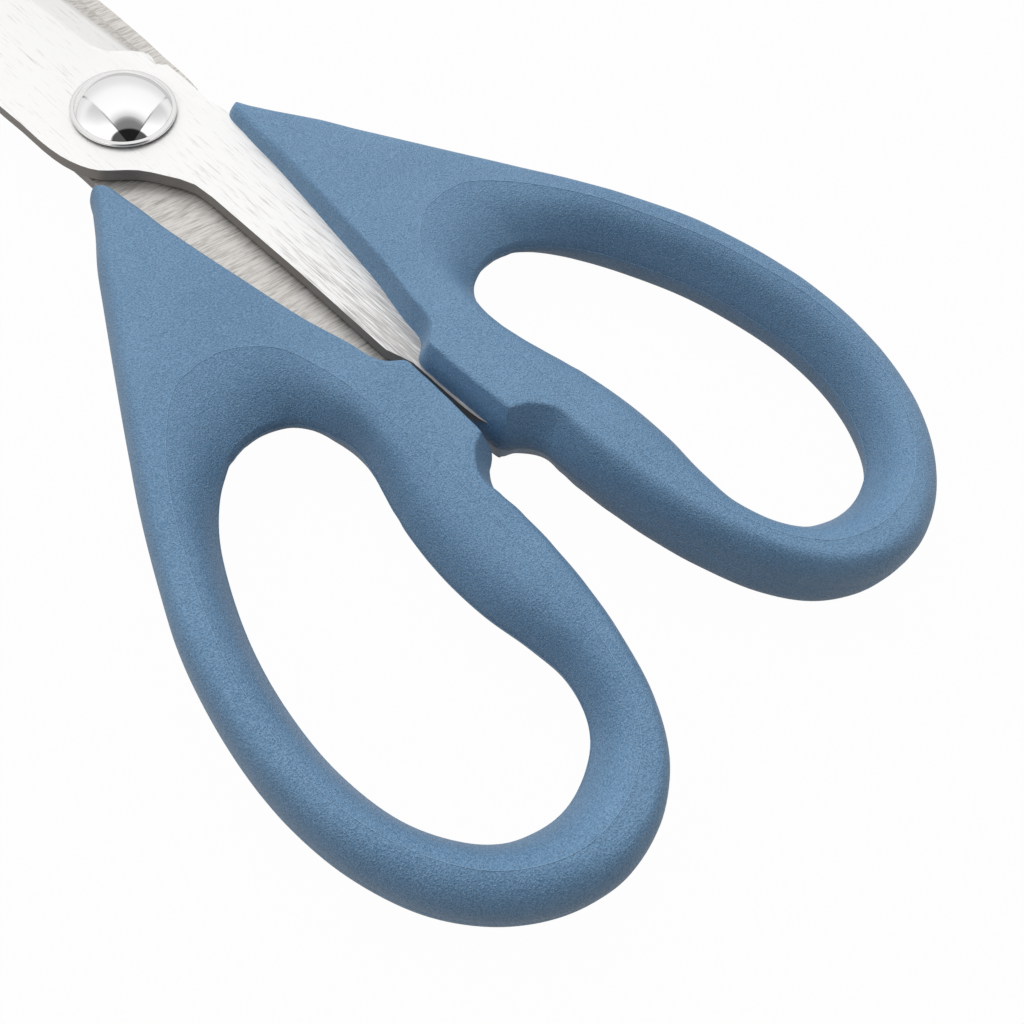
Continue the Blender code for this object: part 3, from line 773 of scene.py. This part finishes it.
def brush_lines():
    """Brushing lines: noise drawn out along one direction, at an angle from the blade."""
    group, source, result = new_group("brush_lines", FACE_BRUSH, ("Lines", "Broad"))
    nodes = group.nodes
    link = group.links.new
    place = nodes.new("ShaderNodeTexCoord")
    turn = nodes.new("ShaderNodeVectorRotate")
    turn.rotation_type = "Z_AXIS"
    squeeze = nodes.new("ShaderNodeCombineXYZ")
    squeeze.inputs["X"].default_value = 1.0
    squeeze.inputs["Z"].default_value = 1.0
    drawn = nodes.new("ShaderNodeVectorMath")
    drawn.operation = "MULTIPLY"
    fine = nodes.new("ShaderNodeTexNoise")
    fine.inputs["Detail"].default_value = FINE_DETAIL
    fine.inputs["Roughness"].default_value = FINE_ROUGHNESS
    broad = nodes.new("ShaderNodeTexNoise")
    broad.inputs["Detail"].default_value = BROAD_DETAIL
    link(place.outputs["Object"], turn.inputs["Vector"])
    link(source.outputs["Angle"], turn.inputs["Angle"])
    link(source.outputs["Stretch"], squeeze.inputs["Y"])
    link(turn.outputs["Vector"], drawn.inputs[0])
    link(squeeze.outputs["Vector"], drawn.inputs[1])
    for noise in (fine, broad):
        link(drawn.outputs["Vector"], noise.inputs["Vector"])
    scale = source.outputs["Line scale"]
    link(scale, fine.inputs["Scale"])
    link(combined(nodes, link, "MULTIPLY", scale, BROAD_SCALE_SHARE), broad.inputs["Scale"])
    link(fine.outputs["Fac"], result.inputs["Lines"])
    link(broad.outputs["Fac"], result.inputs["Broad"])
    return group


# Materials

def new_material(name, roughness, metallic):
    """Material with its nodes, its links and its shader at hand."""
    material = bpy.data.materials.new(name)
    material.use_nodes = True
    shader = material.node_tree.nodes["Principled BSDF"]
    shader.inputs["Roughness"].default_value = roughness
    shader.inputs["Metallic"].default_value = metallic
    return material, material.node_tree.nodes, material.node_tree.links.new, shader


def add_group(nodes, group, values):
    """Group placed in a material with the material's own values."""
    node = nodes.new("ShaderNodeGroup")
    node.node_tree = group
    for label, value in values.items():
        node.inputs[label].default_value = value
    return node


def add_relief(nodes, link, shader, height, strength, depth):
    """Fine relief of the surface from a height."""
    relief = nodes.new("ShaderNodeBump")
    relief.inputs["Strength"].default_value = strength
    relief.inputs["Distance"].default_value = depth
    link(height, relief.inputs["Height"])
    link(relief.outputs["Normal"], shader.inputs["Normal"])


def slate_plastic(name, grain_group, tones):
    """Matte slate blue moulding with the mould's fine spark texture and painted glints on its
    specks.
    """
    material, nodes, link, shader = new_material(name, PLASTIC_ROUGHNESS, 0.0)
    shader.inputs["Specular Tint"].default_value = (*SHEEN_TINT, 1.0)
    spark = add_group(nodes, grain_group, SPARK_TEXTURE)
    grain = spark.outputs["Grain"]
    specks = spark.outputs["Specks"]
    tone = with_share(nodes, link, spark.outputs["Drift"], DRIFT_WEIGHT, grain)
    slate = tone_ramp(nodes, link, tone, tones, SLATE_STOPS)
    # painted glints: lighter colour on the specks
    painted_glint = ranged(nodes, link, specks, 0.0, 1.0, 0.0, PAINTED_GLINT_SHARE)
    rough = ranged(nodes, link, grain, *NOISE_SPAN, *PLASTIC_ROUGH_SPAN)
    height = with_share(nodes, link, specks, SPECK_HEIGHT, grain)
    link(blended_colour(nodes, link, painted_glint, slate, SLATE_PAINTED_GLINT), shader.inputs["Base Color"])
    link(rough, shader.inputs["Roughness"])
    add_relief(nodes, link, shader, height, SPARK_STRENGTH, SPARK_DEPTH)
    return material


def brushed_steel(name, line_group, middle, side):
    """Satin stainless steel, brushed along its outer face and across its inner one, with painted
    shade on its walls and a painted gradient along its outer face.
    """
    material, nodes, link, shader = new_material(name, STEEL_ROUGHNESS, STEEL_METALLIC)
    place = nodes.new("ShaderNodeTexCoord")
    spot = nodes.new("ShaderNodeSeparateXYZ")
    facing = nodes.new("ShaderNodeSeparateXYZ")
    link(place.outputs["Object"], spot.inputs["Vector"])
    link(place.outputs["Normal"], facing.inputs["Vector"])
    layer = side * LAYER_BLEND
    outside = ranged(nodes, link, spot.outputs["Z"], middle - layer, middle + layer, 0.0, 1.0)
    lengthwise = add_group(nodes, line_group, FACE_BRUSH)
    across = add_group(nodes, line_group, INNER_BRUSH)
    lines = blended(nodes, link, outside, across.outputs["Lines"], lengthwise.outputs["Lines"])
    broad = blended(nodes, link, outside, across.outputs["Broad"], lengthwise.outputs["Broad"])
    tone = with_share(nodes, link, broad, BROAD_WEIGHT, lines)
    # painted light and shade: the outer face is painted brighter at the pivot and darker towards
    # the handle, standing in for the dimmer reflection there
    reach = ranged(nodes, link, spot.outputs["Y"], TANG_END, 0.0, 1.0, 0.0)
    tang_shade_share = combined(nodes, link, "POWER", reach, TANG_POWER)
    change = with_share(nodes, link, tang_shade_share, TANG_PAINTED_SHADE, BOSS_PAINTED_LIGHT)
    shaded_tone = combined(nodes, link, "ADD", tone, change)
    face = tone_ramp(nodes, link, shaded_tone, STEEL_FACE, FACE_STOPS)
    inner = tone_ramp(nodes, link, tone, STEEL_INNER, INNER_STOPS)
    flat = blended_colour(nodes, link, outside, inner, face)
    level = combined(nodes, link, "ABSOLUTE", facing.outputs["Z"], 0.0)
    # walls take a darker colour: partly the sheared steel, partly painted shade
    wall = eased(nodes, link, level, *WALL_SPAN, 1.0, 0.0)
    rough = ranged(nodes, link, lines, *NOISE_SPAN, *STEEL_ROUGH_SPAN)
    link(blended_colour(nodes, link, wall, flat, STEEL_WALL_SHEAR_AND_SHADE), shader.inputs["Base Color"])
    link(rough, shader.inputs["Roughness"])
    add_relief(nodes, link, shader, lines, BRUSH_STRENGTH, BRUSH_DEPTH)
    return material


def polished_chrome(name, line_group, tone, foot, foot_height):
    """Bright chrome, faintly polished, with painted shade darkening it where it meets the piece
    that it sits on.
    """
    material, nodes, link, shader = new_material(name, CHROME_ROUGHNESS, 1.0)
    place = nodes.new("ShaderNodeTexCoord")
    spot = nodes.new("ShaderNodeSeparateXYZ")
    link(place.outputs["Object"], spot.inputs["Vector"])
    # painted shade: the chrome's colour darkens towards its foot, standing in for the shade where
    # it meets the piece below
    foot_painted_shade = ranged(nodes, link, spot.outputs["Z"], foot, foot + foot_height, PAINTED_FOOT_SHADE, 1.0)
    tint = nodes.new("ShaderNodeVectorMath")
    tint.operation = "SCALE"
    tint.inputs[0].default_value = tone
    polish = add_group(nodes, line_group, POLISH_BRUSH)
    rough = ranged(nodes, link, polish.outputs["Broad"], *NOISE_SPAN, *CHROME_ROUGH_SPAN)
    link(foot_painted_shade, tint.inputs["Scale"])
    link(tint.outputs["Vector"], shader.inputs["Base Color"])
    link(rough, shader.inputs["Roughness"])
    add_relief(nodes, link, shader, polish.outputs["Lines"], POLISH_STRENGTH, POLISH_DEPTH)
    return material


# Floor

def mirrored_rays(nodes, link, path):
    """Rays that metal and glass send on."""
    glossy = path.outputs["Is Glossy Ray"]
    return combined(nodes, link, "MAXIMUM", glossy, path.outputs["Is Transmission Ray"])


def stage_white(name):
    """White that the camera and reflections see as bright, with shadows still falling on it."""
    material = bpy.data.materials.new(name)
    material.use_nodes = True
    nodes = material.node_tree.nodes
    link = material.node_tree.links.new
    nodes.remove(nodes["Principled BSDF"])
    matt = nodes.new("ShaderNodeBsdfDiffuse")
    matt.inputs["Color"].default_value = (FLOOR_TONE, FLOOR_TONE, FLOOR_TONE, 1.0)
    glow = nodes.new("ShaderNodeEmission")
    glow.inputs["Color"].default_value = PURE_WHITE
    glow.inputs["Strength"].default_value = FLOOR_GLOW
    path = nodes.new("ShaderNodeLightPath")
    mirrored = combined(nodes, link, "MULTIPLY", mirrored_rays(nodes, link, path), FLOOR_MIRRORED)
    share = with_share(nodes, link, path.outputs["Is Camera Ray"], FLOOR_SEEN, mirrored)
    blend = nodes.new("ShaderNodeMixShader")
    link(share, blend.inputs["Fac"])
    link(matt.outputs["BSDF"], blend.inputs[1])
    link(glow.outputs["Emission"], blend.inputs[2])
    link(blend.outputs["Shader"], nodes["Material Output"].inputs["Surface"])
    return material


def add_floor():
    """White floor under the scissors."""
    shape = bmesh.new()
    bmesh.ops.create_grid(shape, x_segments=1, y_segments=1, size=FLOOR_SIZE / 2)
    mesh = bpy.data.meshes.new("floor")
    shape.to_mesh(mesh)
    shape.free()
    mesh.materials.append(stage_white("floor_white"))
    floor = working_object("floor", mesh)


# Camera

def camera_axes():
    """Right, up and back of the camera, from its elevation, bearing and roll."""
    back = Vector((
        math.cos(CAMERA_ELEVATION) * math.sin(CAMERA_TURN),
        -math.cos(CAMERA_ELEVATION) * math.cos(CAMERA_TURN),
        math.sin(CAMERA_ELEVATION),
    ))
    level = Vector((math.cos(CAMERA_TURN), math.sin(CAMERA_TURN), 0))
    upright = back.cross(level)
    right = level * math.cos(CAMERA_ROLL) + upright * math.sin(CAMERA_ROLL)
    up = upright * math.cos(CAMERA_ROLL) - level * math.sin(CAMERA_ROLL)
    return right, up, back


def add_camera():
    """Camera at the photograph's view."""
    lens = bpy.data.cameras.new("photo_view")
    lens.sensor_width = SENSOR_WIDTH
    lens.lens = CAMERA_LENS
    lens.clip_start = CAMERA_CLIP
    camera = working_object("photo_view", lens)
    turned_axes = Matrix(camera_axes()).transposed().to_4x4()
    camera.matrix_world = Matrix.Translation(CAMERA_PLACE) @ turned_axes
    bpy.context.scene.camera = camera


# Lamps and surroundings

def add_softbox(name, direction, width, height, power):
    """Softbox aimed at the scissors. Metal doesn't mirror it, but the studio below."""
    lamp = bpy.data.lights.new(name, "AREA")
    lamp.shape = "RECTANGLE"
    lamp.size = width
    lamp.size_y = height
    lamp.energy = power
    box = working_object(name, lamp)
    box.location = direction * SOFTBOX_DISTANCE
    aim = SOFTBOX_AIM - direction * SOFTBOX_DISTANCE
    box.rotation_euler = aim.to_track_quat("-Z", "Y").to_euler()
    box.visible_glossy = False


def along(nodes, link, place, direction):
    """How far a direction of the surroundings points along a fixed one, from -1 to 1."""
    dot = nodes.new("ShaderNodeVectorMath")
    dot.operation = "DOT_PRODUCT"
    dot.inputs[1].default_value = direction
    link(place.outputs["Generated"], dot.inputs[0])
    return dot.outputs["Value"]


def tent_tone(nodes, link, front):
    """Brightness of the pale tent, from behind the object round to the camera."""
    tent = nodes.new("ShaderNodeValToRGB")
    for stop, tone in zip(tent.color_ramp.elements, TENT_ENDS):
        stop.color = (tone, tone, tone, 1.0)
    for place, tone in TENT_STOPS:
        tent.color_ramp.elements.new(place).color = (tone, tone, tone, 1.0)
    link(ranged(nodes, link, front, -1.0, 1.0, 0.0, 1.0), tent.inputs["Fac"])
    return tent.outputs["Color"]


def with_boards(nodes, link, tent, front, side, rise):
    """Tent with the two side boards in it and a dark seam along their edges."""
    spread = combined(nodes, link, "MULTIPLY", side, BOARD_SLOPE)
    inside = combined(nodes, link, "SUBTRACT", spread, rise)
    inside = combined(nodes, link, "SUBTRACT", inside, BOARD_START)
    mask = eased(nodes, link, inside, *BOARD_EDGE, 0.0, 1.0)
    ahead = eased(nodes, link, front, *BOARD_DEPTH, 0.0, 1.0)
    mask = combined(nodes, link, "MULTIPLY", mask, ahead)
    low_part = eased(nodes, link, side, *BOARD_ACROSS, BOARD_NEAR, BOARD_LIGHT)
    climb = eased(nodes, link, rise, *BOARD_CLIMB, 0.0, 1.0)
    board = blended_tone(nodes, link, climb, low_part, BOARD_TOP)
    tone = blended_tone(nodes, link, mask, tent, board)
    gap = combined(nodes, link, "ABSOLUTE", inside, 0.0)
    seam = eased(nodes, link, gap, 0.0, SEAM_WIDTH, SEAM_TONE, 1.0)
    fade = eased(nodes, link, rise, *SEAM_FADE, 0.0, 1.0)
    seam = combined(nodes, link, "MAXIMUM", seam, fade)
    return combined(nodes, link, "MULTIPLY", tone, seam)


def beside_lens(nodes, link, front, side, rise):
    """Share of the light that the dark oval of the lens lets through."""
    wide = combined(nodes, link, "MULTIPLY", side, 1 / LENS_WIDE)
    lowered = combined(nodes, link, "ADD", rise, LENS_DROP)
    tall = combined(nodes, link, "MULTIPLY", lowered, 1 / LENS_TALL)
    wide = combined(nodes, link, "MULTIPLY", wide, wide)
    tall = combined(nodes, link, "MULTIPLY", tall, tall)
    oval = combined(nodes, link, "ADD", wide, tall)
    lens = eased(nodes, link, oval, *LENS_EDGE, 1.0, 0.0)
    ahead = eased(nodes, link, front, *LENS_DEPTH, 0.0, LENS_DARK)
    lens = combined(nodes, link, "MULTIPLY", lens, ahead)
    return combined(nodes, link, "SUBTRACT", 1.0, lens)


def mirrored_studio(nodes, link, place):
    """Brightness that metal mirrors: a pale tent, two side boards, the lens and a horizon."""
    toward = (CAMERA_PLACE - Vector((0, 0, PIVOT_HEIGHT))).normalized()
    right = camera_axes()[0]
    right = (right - toward * right.dot(toward)).normalized()
    front = along(nodes, link, place, toward)
    side = combined(nodes, link, "ABSOLUTE", along(nodes, link, place, right), 0.0)
    rise = along(nodes, link, place, toward.cross(right))
    height = along(nodes, link, place, (0, 0, 1))
    tone = with_boards(nodes, link, tent_tone(nodes, link, front), front, side, rise)
    horizon = eased(nodes, link, height, HORIZON_START, HORIZON_END, HORIZON_TONE, 1.0)
    beyond = eased(nodes, link, front, *FAR_SIDE, 1.0, 0.0)
    low_light = combined(nodes, link, "MAXIMUM", horizon, beyond)
    tone = combined(nodes, link, "MULTIPLY", tone, low_light)
    return combined(nodes, link, "MULTIPLY", tone, beside_lens(nodes, link, front, side, rise))


def set_world():
    """Pale surroundings: white behind the object, soft light that falls off away from the key."""
    world = bpy.data.worlds.new("studio")
    bpy.context.scene.world = world
    world.use_nodes = True
    nodes = world.node_tree.nodes
    link = world.node_tree.links.new
    place = nodes.new("ShaderNodeTexCoord")
    slope = along(nodes, link, place, KEY_DIRECTION.normalized())
    ambient = nodes["Background"]
    mirrored = nodes.new("ShaderNodeBackground")
    white = nodes.new("ShaderNodeBackground")
    for shade in (ambient, mirrored, white):
        shade.inputs["Color"].default_value = PURE_WHITE
    white.inputs["Strength"].default_value = BACKDROP_WHITE
    level = eased(nodes, link, slope, *AMBIENT_SPAN, AMBIENT_LOW, AMBIENT_HIGH)
    link(level, ambient.inputs["Strength"])
    link(mirrored_studio(nodes, link, place), mirrored.inputs["Strength"])
    path = nodes.new("ShaderNodeLightPath")
    glossy = nodes.new("ShaderNodeMixShader")
    seen = nodes.new("ShaderNodeMixShader")
    link(mirrored_rays(nodes, link, path), glossy.inputs["Fac"])
    link(ambient.outputs["Background"], glossy.inputs[1])
    link(mirrored.outputs["Background"], glossy.inputs[2])
    link(path.outputs["Is Camera Ray"], seen.inputs["Fac"])
    link(glossy.outputs["Shader"], seen.inputs[1])
    link(white.outputs["Background"], seen.inputs[2])
    link(seen.outputs["Shader"], nodes["World Output"].inputs["Surface"])


# The scissors

grain_group = spark_grain()
line_group = brush_lines()
right_plastic = slate_plastic("slate_plastic_right", grain_group, SLATE_TONES)
left_plastic = slate_plastic("slate_plastic_left", grain_group, SLATE_TONES)
# the witness beads' lighter slate is a painted highlight
witness_highlight_plastic = slate_plastic("slate_plastic_witness_highlight", grain_group, WITNESS_HIGHLIGHT_TONES)
upper_steel = brushed_steel("satin_steel_upper", line_group, UPPER_BLADE_MIDDLE, 1)
lower_steel = brushed_steel("satin_steel_lower", line_group, LOWER_BLADE_MIDDLE, -1)
dome_chrome = polished_chrome(
    "chrome_dome", line_group, DOME_TONE, blade_high.z + RING_HEIGHT, RIM_RADIUS)
washer_chrome = polished_chrome(
    "chrome_washer", line_group, RING_TONE, blade_high.z + RING_LIFT, RING_HEIGHT / 2)
cap_chrome = polished_chrome("chrome_cap", line_group, CAP_TONE, cap_low.z, RIM_RADIUS)

new_piece("right_handle", moulded_handle("right_handle", 1, right_plastic),
          "upper_half", "upper_handle_plastic", "upper_handle")
new_piece("left_handle", moulded_handle("left_handle", -1, left_plastic),
          "lower_half", "lower_handle_plastic", "lower_handle")
new_piece("upper_blade_ground", ground_blade("upper_blade", upper_steel),
          "upper_half", "upper_blade_steel", "upper_blade")
new_piece("lower_blade_ground", ground_blade("lower_blade", lower_steel),
          "lower_half", "lower_blade_steel", "lower_blade")
new_piece("rivet_dome", rivet_dome(dome_chrome),
          "lower_half", "pivot_rivet_chrome", "pivot_rivet")
new_piece("rivet_washer", rivet_washer(washer_chrome),
          "lower_half", "pivot_washer_chrome", "pivot_washer")
new_piece("rivet_cap", rivet_cap(cap_chrome),
          "lower_half", "pivot_cap_chrome", "pivot_cap")
bead = bead_tree()
rims = [parting_ring(OUTER_EDGE), parting_ring(FINGER_HOLE)]
creases = [crease_ring(), [(x, y, -z) for x, y, z in crease_ring()]]
for side, word, body, slot in (
    (1, "right", "upper_half", "upper_handle_plastic"),
    (-1, "left", "lower_half", "lower_handle_plastic"),
):
    for line, rings, radius in (
        ("_parting_line", rims, PARTING_RADIUS),
        ("_crease_line", creases, CREASE_LINE_RADIUS),
    ):
        mesh = witness_line(word + line, bead, rings, side, radius, witness_highlight_plastic)
        new_piece(word + line, mesh, body, slot)

add_floor()
set_world()
for softbox in SOFTBOXES:
    add_softbox(*softbox)
add_camera()
bpy.context.scene.view_settings.view_transform = "Standard"
